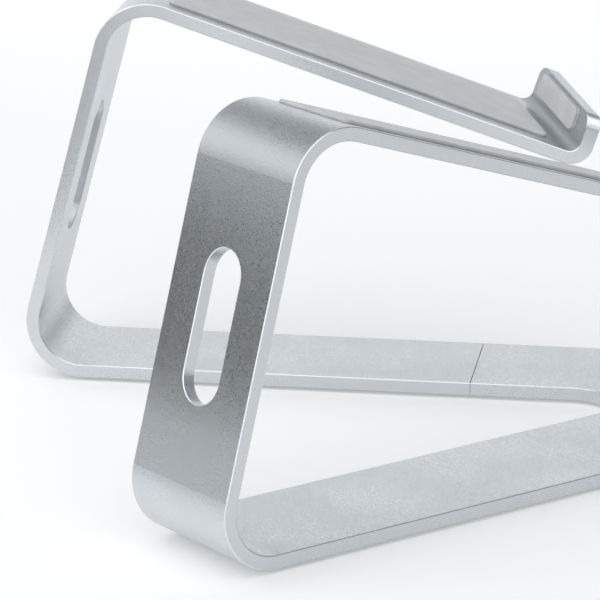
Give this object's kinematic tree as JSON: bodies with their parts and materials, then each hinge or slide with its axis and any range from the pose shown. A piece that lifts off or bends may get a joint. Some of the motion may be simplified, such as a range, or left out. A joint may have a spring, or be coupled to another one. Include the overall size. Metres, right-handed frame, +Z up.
{
  "type": "laptop stand",
  "caption": "Passive laptop stand of bent aluminium plate: splayed legs with cable slots and hooked, padded arms, joined by a centre plate at the front.",
  "frame": {"origin": "centre of the bounding box in X and Y, on the surface that the stand rests on", "axes": "+Z up; +X to the right, across the stand's mirror plane; +Y towards the back, where the risers stand, so the user and the hooks are at -Y"},
  "size_m": [0.3, 0.24, 0.1527],
  "materials": {
    "anodised_aluminium": "fine bead-blasted, clear anodised, with bright chamfers",
    "rest_silicone": "matte light grey silicone",
    "foot_silicone": "matte dark grey silicone",
    "screw_steel": "zinc-plated steel",
    "adhesive_film": "translucent adhesive film"
  },
  "bodies": {
    "root": {"arm_pad_films": "adhesive_film", "base_plate": "anodised_aluminium", "centre_foot_pad": "foot_silicone", "foot_pad_films": "adhesive_film", "hook_pad_films": "adhesive_film", "left_arm": "anodised_aluminium", "left_arm_pad": "rest_silicone", "left_front_foot_pad": "foot_silicone", "left_hook_pad": "rest_silicone", "left_joint_screws": "screw_steel", "left_rear_foot_pad": "foot_silicone", "right_arm": "anodised_aluminium", "right_arm_pad": "rest_silicone", "right_front_foot_pad": "foot_silicone", "right_hook_pad": "rest_silicone", "right_joint_screws": "screw_steel", "right_rear_foot_pad": "foot_silicone"}
  },
  "joints": []
}
